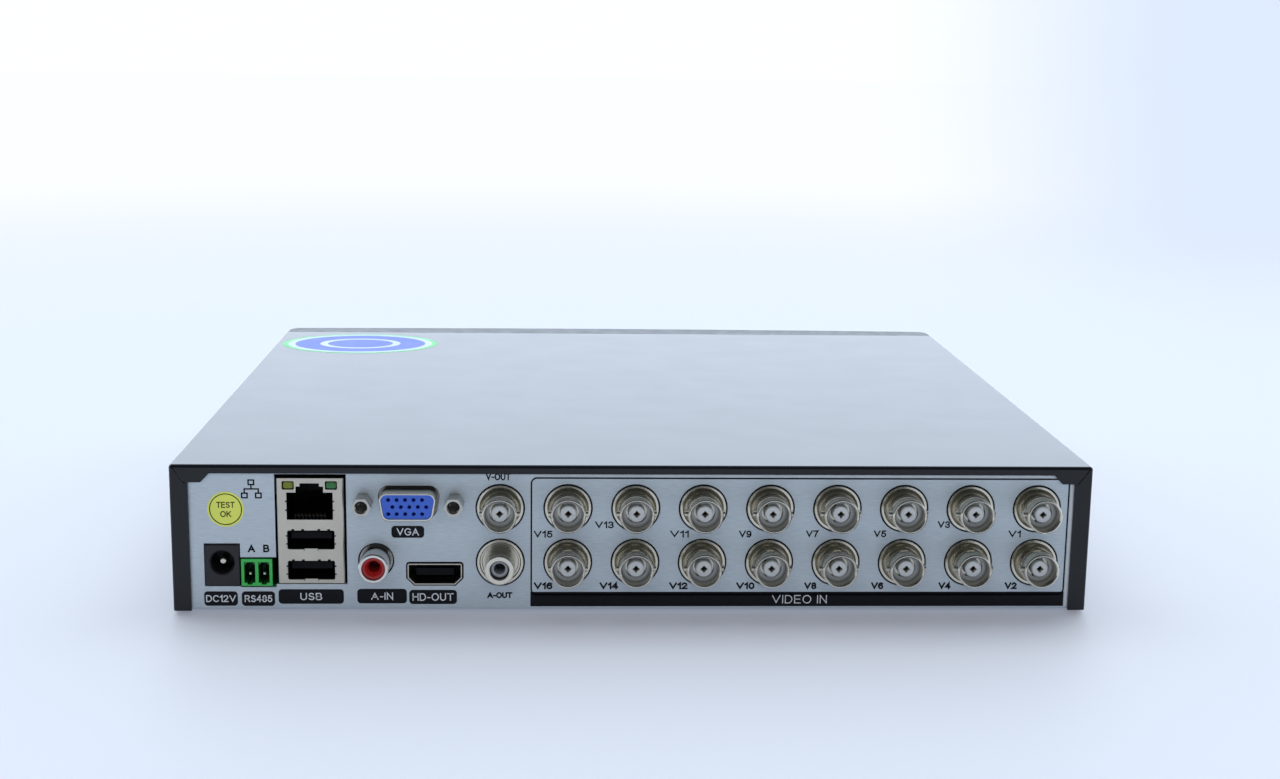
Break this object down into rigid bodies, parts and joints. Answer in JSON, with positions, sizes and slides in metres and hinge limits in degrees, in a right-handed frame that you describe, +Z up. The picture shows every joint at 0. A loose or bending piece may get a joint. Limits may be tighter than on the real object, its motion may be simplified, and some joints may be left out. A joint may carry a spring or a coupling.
{
  "type": "digital video recorder",
  "caption": "Low desktop video recorder in a folded steel case, with rows of coaxial video inputs and network, display, audio and power sockets on its rear panel.",
  "frame": {"origin": "middle of the footprint, on the surface the feet rest on", "axes": "+Z up; the front bezel looks along -Y; the connectors stand out of the rear panel along +Y; +X is to the left when the rear panel is seen from behind"},
  "size_m": [0.255, 0.2434, 0.0425],
  "materials": {
    "panel_paint": "fine-grained satin paint, silver blue-grey",
    "cover_paint": "fine-textured semi-gloss paint, near black",
    "bezel_plastic": "satin moulded plastic, black",
    "window_smoke": "smoked, polished",
    "button_plastic": "satin moulded plastic, charcoal",
    "foot_rubber": "matte",
    "screw_steel": "black zinc, satin",
    "bright_steel": "bright zinc, satin",
    "standoff_brass": "turned, bright",
    "board_green": "solder mask, semi-gloss",
    "chip_black": "matte epoxy",
    "part_black": "moulded, matte",
    "led_clear": "clear, polished",
    "ir_dark": "dark red tinted, polished",
    "sink_aluminium": "extruded, satin",
    "drive_aluminium": "cast, matte",
    "drive_steel": "pressed sheet, satin",
    "disc_mirror": "polished",
    "capacitor_sleeve": "shrunk sleeve",
    "cable_red": "smooth",
    "cable_black": "smooth",
    "ribbon_grey": "smooth",
    "jack_black": "moulded, satin",
    "terminal_green": "moulded, satin",
    "nickel": "nickel plate, bright",
    "shield_nickel": "nickel plated sheet, satin",
    "contact_gold": "gold flash",
    "light_amber": "translucent",
    "light_green": "translucent",
    "vga_blue": "moulded, satin",
    "insulator_red": "moulded, satin",
    "insulator_white": "moulded, satin"
  },
  "bodies": {
    "case": {"chassis_tray": "panel_paint", "top_cover": "cover_paint", "front_bezel": "bezel_plastic", "front_window": "window_smoke", "rubber_feet": "foot_rubber", "cover_screws": "screw_steel", "board_standoffs": "standoff_brass", "board_screws": "bright_steel", "front_board": "board_green", "front_leds": "led_clear", "tact_switches": "part_black", "ir_receiver": "ir_dark", "main_board": "board_green", "soc_chip": "chip_black", "soc_heatsink": "sink_aluminium", "fan_frame": "part_black", "fan_screws": "bright_steel", "memory_chips": "chip_black", "video_decoder_chips": "chip_black", "capacitors": "capacitor_sleeve", "coin_cell": "bright_steel", "coin_cell_holder": "part_black", "sata_socket": "part_black", "power_header": "part_black", "hdd_case": "drive_aluminium", "hdd_cover": "drive_steel", "hdd_board": "board_green", "hdd_screws": "bright_steel", "sata_cable": "cable_red", "hdd_power_cable": "cable_black", "front_ribbon_cable": "ribbon_grey", "dc_jack_body": "jack_black", "dc_jack_pin": "nickel", "terminal_block": "terminal_green", "terminal_pins": "nickel", "lan_usb_shield": "shield_nickel", "lan_usb_core": "jack_black", "lan_led_yellow": "light_amber", "lan_led_green": "light_green", "vga_shell": "nickel", "vga_insert": "vga_blue", "vga_jackscrews": "nickel", "hdmi_shell": "shield_nickel", "hdmi_tongue": "jack_black", "rca_in_shell": "nickel", "rca_in_insulator": "insulator_red", "rca_out_shell": "nickel", "rca_out_insulator": "insulator_white", "bnc_shells": "nickel", "bnc_insulators": "insulator_white", "bnc_contacts": "contact_gold", "bnc_housings": "jack_black"},
    "power_button": {"power_button": "button_plastic"},
    "menu_button": {"menu_button": "button_plastic"},
    "up_button": {"up_button": "button_plastic"},
    "down_button": {"down_button": "button_plastic"},
    "fan_rotor": {"fan_rotor": "part_black"},
    "disc_pack": {"hdd_spindle": "bright_steel", "hdd_platters": "disc_mirror"},
    "head_actuator": {"hdd_actuator": "drive_aluminium"}
  },
  "joints": [
    {"name": "power_press", "type": "slide", "parent": "case", "child": "power_button", "axis": [0, 1, 0], "range_m": [0, 0.0005], "stiffness_N_per_m": 2000},
    {"name": "menu_press", "type": "slide", "parent": "case", "child": "menu_button", "axis": [0, 1, 0], "range_m": [0, 0.0005], "stiffness_N_per_m": 2000},
    {"name": "up_press", "type": "slide", "parent": "case", "child": "up_button", "axis": [0, 1, 0], "range_m": [0, 0.0005], "stiffness_N_per_m": 2000},
    {"name": "down_press", "type": "slide", "parent": "case", "child": "down_button", "axis": [0, 1, 0], "range_m": [0, 0.0005], "stiffness_N_per_m": 2000},
    {"name": "fan_spin", "type": "hinge", "parent": "case", "child": "fan_rotor", "pos_m": [0.044, 0.058, 0.026], "axis": [0, 0, 1], "continuous": true},
    {"name": "disc_spin", "type": "hinge", "parent": "case", "child": "disc_pack", "pos_m": [-0.066, -0.0502, 0.0165], "axis": [0, 0, 1], "continuous": true},
    {"name": "head_swing", "type": "hinge", "parent": "case", "child": "head_actuator", "pos_m": [-0.01, -0.069, 0.0165], "axis": [0, 0, 1], "range_deg": [0, 33.9]}
  ]
}
